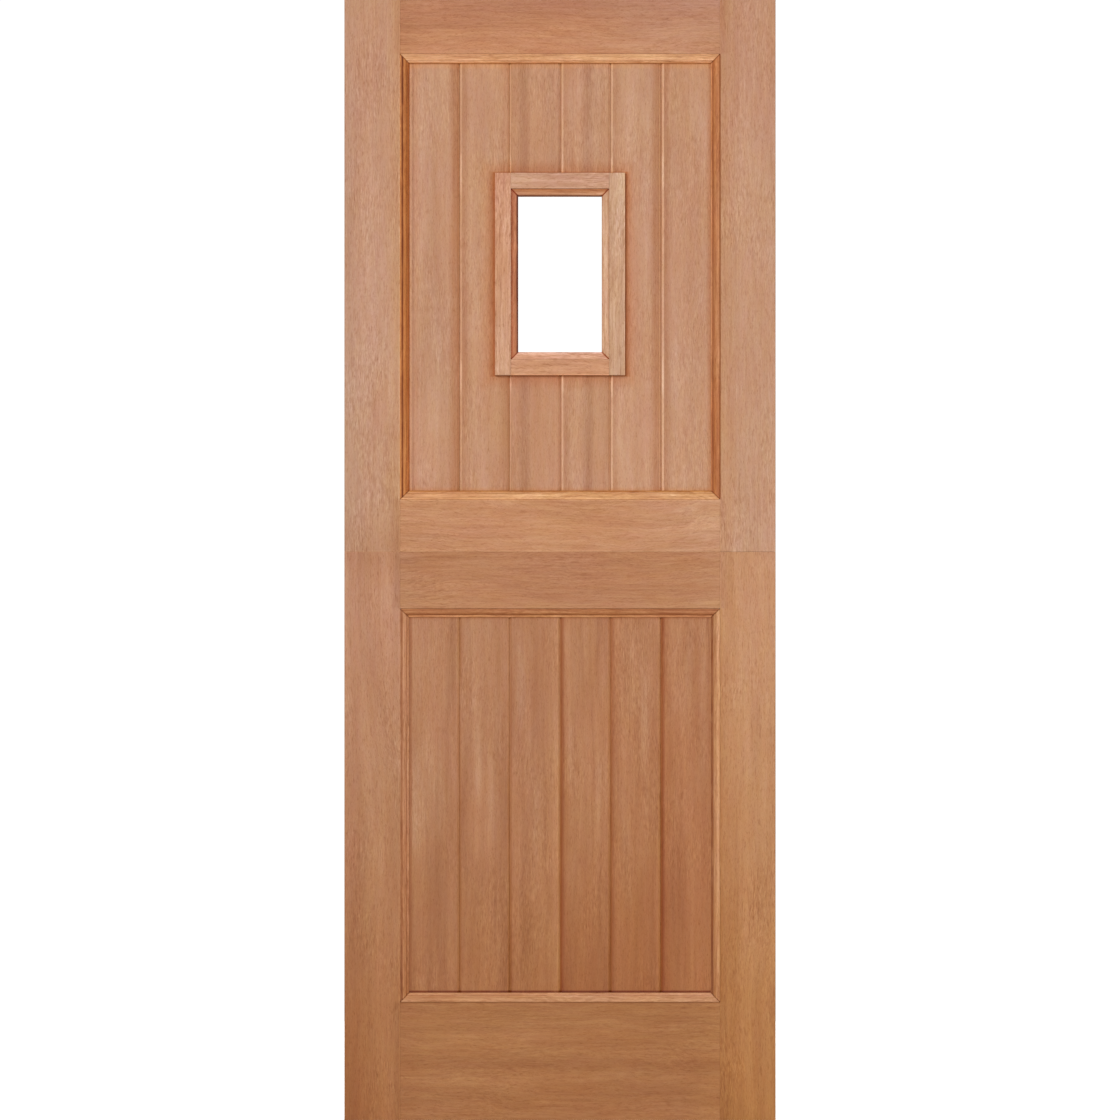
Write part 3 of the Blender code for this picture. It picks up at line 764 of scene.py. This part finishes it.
def finish_node(node, material, arris):
    """Gives a node of the frame its timber, and eases its edges."""
    node.data.materials.clear()
    node.data.materials.append(material)
    weld = node.modifiers.new("weld", "WELD")
    weld.merge_threshold = WELD_DISTANCE
    flatten = node.modifiers.new("flatten", "DECIMATE")
    flatten.decimate_type = "DISSOLVE"
    flatten.angle_limit = FLAT_ANGLE
    ease_edges(node, arris)


def ovolo_section(width, back, face):
    """Front moulding, as distances from the frame's edge and from mid-thickness."""
    foot = back + FILLET_RISE + QUIRK_DEPTH
    across = width - FILLET_WIDTH - MOULDING_FLAT
    turns = [math.radians(90) * k / OVOLO_STEPS for k in range(OVOLO_STEPS + 1)]
    ovolo = [
        (MOULDING_FLAT + across * math.sin(turn), foot + (face - foot) * math.cos(turn))
        for turn in turns
    ]
    return [
        (0, back),
        (0, face - MOULDING_ARRIS),
        (MOULDING_ARRIS, face),
        *ovolo,
        (width - FILLET_WIDTH, foot - QUIRK_DEPTH),
        (width, back + FILLET_EDGE),
        (width, back),
    ]


def splay_section(width, back, face):
    """Back bead, in the same measures."""
    return [
        (0, back),
        (0, face),
        (BACK_BEAD_FLAT, face),
        (width, back + BACK_BEAD_EDGE),
        (width, back),
    ]


def window_bead_section(width, back, face):
    """Window bead, in the same measures."""
    return [
        (0, back),
        (0, face),
        (WINDOW_BEAD_FLAT, face),
        (width, face - WINDOW_BEAD_SPLAY),
        (width, back),
    ]


# How a moulding or bead lies: the axis that it runs along and its two ends there, the axis
# across it, the frame's edge that it is planted against, and its direction from there
Run = namedtuple("Run", "axis ends width_axis edge toward")


def run_of(name):
    """How a node's moulding or bead lies."""
    low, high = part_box(name)
    axis, width_axis = (X, Z) if runs_across(name) else (Z, X)
    toward = -1 if name.endswith(("_top", "_closing_side")) else 1
    edge = (high if toward < 0 else low)[width_axis]
    return Run(axis, (low[axis], high[axis]), width_axis, edge, toward)


def add_moulding(name, section, material, arris):
    """A mitred length of moulding in the place of a node of the frame."""
    low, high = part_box(name)
    run = run_of(name)
    width = high[run.width_axis] - low[run.width_axis]
    side = -1 if low.y < 0 else 1
    back, face = sorted((abs(low.y), abs(high.y)))
    bm = bmesh.new()
    rings = []
    for end, inward in zip(run.ends, (1, -1)):
        ring = []
        for away, depth in section(width, back, face):
            point = [0.0, side * depth, 0.0]
            point[run.axis] = end + inward * away
            point[run.width_axis] = run.edge + run.toward * away
            ring.append(bm.verts.new(point))
        rings.append(ring)
    count = len(rings[0])
    for k in range(count):
        following = (k + 1) % count
        bm.faces.new((rings[0][k], rings[0][following], rings[1][following], rings[1][k]))
    bm.faces.new(rings[0])
    bm.faces.new(rings[1])
    bmesh.ops.recalc_face_normals(bm, faces=bm.faces)
    mesh = bpy.data.meshes.new(f"{name}_moulded")
    bm.to_mesh(mesh)
    bm.free()
    mesh.materials.append(material)
    mesh.shade_smooth()
    mesh.set_sharp_from_angle(angle=SHARP_ANGLE)
    piece = bpy.data.objects.new(f"{name}_moulded", mesh)
    bpy.context.scene.collection.objects.link(piece)
    ease_edges(piece, arris)
    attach(piece, "root")
    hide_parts(name)


def uneven(graph, place, factor, noise=SHADE_AND_STAIN_PATCHES, swing=SHADE_AND_STAIN_SWING):
    """A factor that is stronger in some places than in others, for painted shade and highlights as
    for stain.
    """
    change = graph.centred(graph.noise(place, noise), swing)
    return graph.math("MULTIPLY", factor, graph.math("ADD", SHADE_AND_STAIN_MEAN, change))


def distance(graph, value, centre):
    """How far a value is from a centre."""
    return graph.math("ABSOLUTE", graph.math("SUBTRACT", value, centre))


def scaled(tint, strength):
    """A tint at part of its strength."""
    return tuple(1 + (channel - 1) * strength for channel in tint)


def fade(axis, start, end, tint):
    """A tint that sets in from start to end along an axis, and stays."""

    def mark(graph, place, colour):
        return graph.tint(graph.ramp(graph.split(place)[axis], start, end), colour, tint)

    return mark


def line(axis, centre, spread, tint, heights=None, **unevenness):
    """A soft line of a tint at a place on an axis, spread to either side.

    heights are the lowest and the highest place of an upright line that doesn't run through.
    """

    def mark(graph, place, colour):
        parts = graph.split(place)
        away = distance(graph, parts[axis], centre)
        factor = uneven(graph, place, graph.ramp(away, spread, 0.0), **unevenness)
        if heights:
            low, high = heights
            above = graph.ramp(parts[Z], low - LINE_END, low + LINE_END)
            below = graph.ramp(parts[Z], high + LINE_END, high - LINE_END)
            factor = graph.math("MULTIPLY", graph.math("MULTIPLY", factor, above), below)
        return graph.tint(factor, colour, tint)

    return mark


def lines_from(axis, edge, table, strength=1.0, **options):
    """Lines from a table of distance from an edge, spread and tint."""
    return [
        line(axis, edge + away, spread, scaled(tint, strength), **options)
        for away, spread, tint in table
    ]


def streak(centre, spread, low, high, tint):
    """A soft upright line of a tint that fades out below low and above high."""
    middle, reach = (low + high) / 2, (high - low) / 2

    def mark(graph, place, colour):
        x, _, z = graph.split(place)
        beside = graph.ramp(distance(graph, x, centre), spread, 0.0)
        above = graph.ramp(distance(graph, z, middle), reach, reach * STREAK_CORE)
        factor = graph.math("MULTIPLY", beside, above)
        return graph.tint(uneven(graph, place, factor), colour, tint)

    return mark


def painted_window_shadow(spread, spread_above, tint):
    """A painted shadow: a tint on the boards that is strongest beside the window's frame."""
    centre = (WINDOW_LOW + WINDOW_HIGH) / 2
    half = (WINDOW_HIGH - WINDOW_LOW) / 2

    def mark(graph, place, colour):
        x, _, z = graph.split(place)
        beside = graph.math("SUBTRACT", distance(graph, x, centre.x), half.x)
        above = graph.math("SUBTRACT", distance(graph, z, centre.z), half.z)
        beside = graph.ramp(beside, spread, 0.0)
        above = graph.ramp(above, spread_above, 0.0)
        factor = graph.math("MINIMUM", beside, above)
        return graph.tint(uneven(graph, place, factor), colour, tint)

    return mark


def mitre(run, end, spread, tint):
    """A soft line of a tint where a place is as far from an end as from the frame's edge."""

    def mark(graph, place, colour):
        parts = graph.split(place)
        along = distance(graph, parts[run.axis], end)
        across = distance(graph, parts[run.width_axis], run.edge)
        away = distance(graph, along, across)
        return graph.tint(uneven(graph, place, graph.ramp(away, spread, 0.0)), colour, tint)

    return mark


def upper_board_marks(number):
    """Painted highlights on the arrises at the joints with painted shade beside them, dark streaks,
    and the window's painted shadow.
    """
    left = SIGHT_LEFT + BOARD_PITCH * (number - 1)
    right = left + BOARD_PITCH
    marks = [line(X, *UPPER_WARMTH)]
    marks += [painted_window_shadow(*stain) for stain in WINDOW_PAINTED_SHADOWS]
    if number in HEART_STREAKS:
        marks.append(line(X, HEART_STREAKS[number], HEART_SPREAD, HEART_TINT))
    if number > 1:
        joint = UPPER_JOINTS[number - 2]
        stain = LEAST_PAINTED_SHADE_AFTER + (1 - LEAST_PAINTED_SHADE_AFTER) * joint.stain
        arris = left + joint.inward
        marks.append(line(X, left + PAINTED_SHADE_AWAY, PAINTED_SHADE_SPREAD, scaled(PAINTED_SHADE_AFTER, stain)))
        marks.append(line(X, arris, PAINTED_HIGHLIGHT_AFTER_SPREAD, scaled(PAINTED_HIGHLIGHT_AFTER, joint.light)))
        for edge in (WINDOW_LOW.z, WINDOW_HIGH.z):
            low, high = edge - WINDOW_PAINTED_HIGHLIGHT_REACH, edge + WINDOW_PAINTED_HIGHLIGHT_REACH
            marks.append(streak(arris, WINDOW_PAINTED_HIGHLIGHT_SPREAD, low, high, WINDOW_PAINTED_HIGHLIGHT))
    if number < BOARDS_ACROSS:
        joint = UPPER_JOINTS[number - 1]
        marks.append(line(X, right - PAINTED_SHADE_AWAY, PAINTED_SHADE_SPREAD, scaled(PAINTED_SHADE_BEFORE, joint.stain)))
        marks.append(line(X, right, PAINTED_HIGHLIGHT_BEFORE_SPREAD, scaled(PAINTED_HIGHLIGHT_BEFORE, joint.before)))
    return marks


def lower_board_marks(number):
    """Painted shade in the joints with painted highlights on their arrises, and paler streaks."""
    left = SIGHT_LEFT + BOARD_PITCH * (number - 1)
    right = left + BOARD_PITCH
    marks = [fade(X, SIGHT_LEFT, SIGHT_RIGHT, LOWER_WARMTH)]
    for centre, low, high in PALE_STREAKS[number]:
        marks.append(streak(centre, PALE_STREAK_SPREAD, low, high, PALE_STREAK_TINT))
    if number > 1:
        marks += lines_from(X, left, LOWER_PAINTED_HIGHLIGHTS_AFTER)
        marks += lines_from(X, left, LOWER_PAINTED_SHADE_LINES, LOWER_JOINT_PAINTED_SHADE[number - 2])
    if number < BOARDS_ACROSS:
        marks += lines_from(X, right, LOWER_PAINTED_HIGHLIGHTS_BEFORE)
    return marks


def panel_edge_marks(leaf):
    """Painted shade and painted highlights on the boards along the mouldings."""
    sides = {
        "left": (X, SIGHT_LEFT),
        "right": (X, SIGHT_RIGHT),
        "top": (Z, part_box(f"{leaf}_front_moulding_top")[0].z),
        "bottom": (Z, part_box(f"{leaf}_front_moulding_bottom")[1].z),
    }
    marks = []
    for side, away, spread, tint in PANEL_PAINTED_SHADE_AND_HIGHLIGHTS[leaf]:
        axis, edge = sides[side]
        marks.append(line(axis, edge + away, spread, tint))
    return marks


def moulding_marks(name):
    """Painted shade in the quirks and painted highlights on the rounds along a moulding, and stained
    mitres.
    """
    leaf = name.split("_")[0]
    run = run_of(name)
    painted_patchily = {"noise": MOULDING_SHADE_AND_STAIN_PATCHES, "swing": MOULDING_SWING}
    marks = []
    for away, spread, tint in MOULDING_PAINTED_SHADE_AND_HIGHLIGHTS[f"{leaf}_{side_of(name)}"]:
        centre = run.edge + run.toward * away
        marks.append(line(run.width_axis, centre, spread, tint, **painted_patchily))
    for end in run.ends:
        marks.append(mitre(run, end, *MITRES[leaf]))
    return marks


def stile_marks(name, leaf):
    """Lines on a stile along the mouldings and the rails' shoulders, painted highlights and painted
    shade among them.
    """
    left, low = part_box(f"{leaf}_front_moulding_hanging_side")[0].xz
    right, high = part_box(f"{leaf}_front_moulding_closing_side")[1].xz
    edge = left if name.endswith("_hanging_stile") else right
    marks = lines_from(X, edge, STILE_LINES_BESIDE[name], heights=(low, high))
    marks += lines_from(X, edge, STILE_LINES_THROUGH[name])
    for rail, tint in SHOULDERS[name].items():
        rail_low, rail_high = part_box(rail)
        beside_rail = (rail_low.z, rail_high.z)
        marks.append(line(X, edge, SHOULDER_SPREAD, tint, heights=beside_rail))
        marks.append(line(X, edge, SHOULDER_PAINTED_HIGHLIGHT_SPREAD, SHOULDER_PAINTED_HIGHLIGHT, heights=beside_rail))
    return marks


def marks_of(name):
    """Every soft line, fade and patch of colour on a piece."""
    leaf = name.split("_")[0]
    marks = [line(*entry) for entry in LINES.get(name, ())]
    marks += [fade(*entry) for entry in FADES.get(name, ())]
    marks += [streak(*entry) for entry in PATCHES.get(name, ())]
    if "front_moulding" in name or "front_bead" in name:
        marks += moulding_marks(name)
    if "board" in name:
        number = int(name.split("_")[2])
        marks += upper_board_marks(number) if leaf == "upper" else lower_board_marks(number)
        marks += panel_edge_marks(leaf)
    if name.endswith("_stile"):
        marks += stile_marks(name, leaf)
    return marks


def dress_pieces():
    """Gives every piece its timber, and the mouldings their finer shapes."""
    for name, node in NODES.items():
        if "moulding" in name:
            add_moulding(name, ovolo_section, wood(name), FINE_ARRIS)
        elif "back_bead" in name and "window" not in name:
            add_moulding(name, splay_section, wood(name), BEAD_ARRIS)
        elif "window" in name and "bead" in name:
            add_moulding(name, window_bead_section, wood(name), FINE_ARRIS)
        else:
            finish_node(node, wood(name), BOARD_ARRIS if "board" in name else FRAME_ARRIS)


def seen_and_lit(tree, seen, lit):
    """A shader that the camera sees as one thing and that lights the rest as another."""
    path = tree.nodes.new("ShaderNodeLightPath")
    mix = tree.nodes.new("ShaderNodeMixShader")
    tree.links.new(path.outputs["Is Camera Ray"], mix.inputs[0])
    tree.links.new(lit, mix.inputs[1])
    tree.links.new(seen, mix.inputs[2])
    return mix.outputs[0]


def add_world():
    """White surroundings, which light the door softly."""
    world = bpy.data.worlds.new("studio")
    bpy.context.scene.world = world
    world.use_nodes = True
    tree = world.node_tree
    lit = tree.nodes["Background"]
    lit.inputs["Color"].default_value = AMBIENT_COLOUR
    lit.inputs["Strength"].default_value = AMBIENT
    seen = tree.nodes.new("ShaderNodeBackground")
    seen.inputs["Color"].default_value = BACKDROP_COLOUR
    seen.inputs["Strength"].default_value = BACKDROP
    out = tree.nodes["World Output"]
    tree.links.new(seen_and_lit(tree, seen.outputs[0], lit.outputs[0]), out.inputs["Surface"])


def add_floor():
    """A pale round floor at the door's foot."""
    bm = bmesh.new()
    bmesh.ops.create_circle(bm, cap_ends=True, segments=FLOOR_SIDES, radius=FLOOR_RADIUS)
    mesh = bpy.data.meshes.new("floor")
    bm.to_mesh(mesh)
    bm.free()
    floor = bpy.data.objects.new("floor", mesh)
    floor.location = (DOOR_CENTRE.x, 0, DOOR_LOW.z - FLOOR_GAP)
    bpy.context.scene.collection.objects.link(floor)
    material = bpy.data.materials.new("floor")
    material.use_nodes = True
    tree = material.node_tree
    shader = tree.nodes["Principled BSDF"]
    shader.inputs["Base Color"].default_value = FLOOR_COLOUR
    shader.inputs["Roughness"].default_value = FLOOR_ROUGHNESS
    glow = tree.nodes.new("ShaderNodeEmission")
    glow.inputs["Strength"].default_value = FLOOR_GLOW
    both = tree.nodes.new("ShaderNodeAddShader")
    tree.links.new(shader.outputs[0], both.inputs[0])
    tree.links.new(glow.outputs[0], both.inputs[1])
    out = tree.nodes["Material Output"]
    tree.links.new(seen_and_lit(tree, both.outputs[0], shader.outputs[0]), out.inputs["Surface"])
    mesh.materials.append(material)


def add_lamp(name, place, size, power):
    """A soft square lamp that faces the door's middle."""
    lamp = bpy.data.lights.new(name, "AREA")
    lamp.energy = power
    lamp.size = size
    lamp.color = LAMP_COLOUR
    obj = bpy.data.objects.new(name, lamp)
    obj.location = DOOR_CENTRE + place
    obj.rotation_euler = (-place).to_track_quat("-Z", "Y").to_euler()
    obj.visible_camera = False
    bpy.context.scene.collection.objects.link(obj)


def add_camera():
    """A long lens, level and face on."""
    camera = bpy.data.cameras.new("camera")
    camera.lens = CAMERA_LENS
    camera.sensor_width = CAMERA_SENSOR
    height = DOOR_HIGH.z - DOOR_LOW.z
    away = height * CAMERA_LENS / CAMERA_SENSOR * CAMERA_CLOSENESS
    obj = bpy.data.objects.new("camera", camera)
    obj.location = (DOOR_CENTRE.x, DOOR_LOW.y - away, DOOR_CENTRE.z)
    obj.rotation_euler = (math.radians(90), 0, 0)
    camera.clip_end = away * CLIP_FACTOR
    bpy.context.scene.collection.objects.link(obj)
    bpy.context.scene.camera = obj


dress_pieces()
add_world()
add_floor()
add_lamp("key_light", KEY_PLACE, KEY_SIZE, KEY_POWER)
add_lamp("fill_light", FILL_PLACE, FILL_SIZE, FILL_POWER)
add_lamp("back_light", BACK_PLACE, BACK_SIZE, BACK_POWER)
add_camera()
bpy.context.scene.view_settings.view_transform = "Standard"
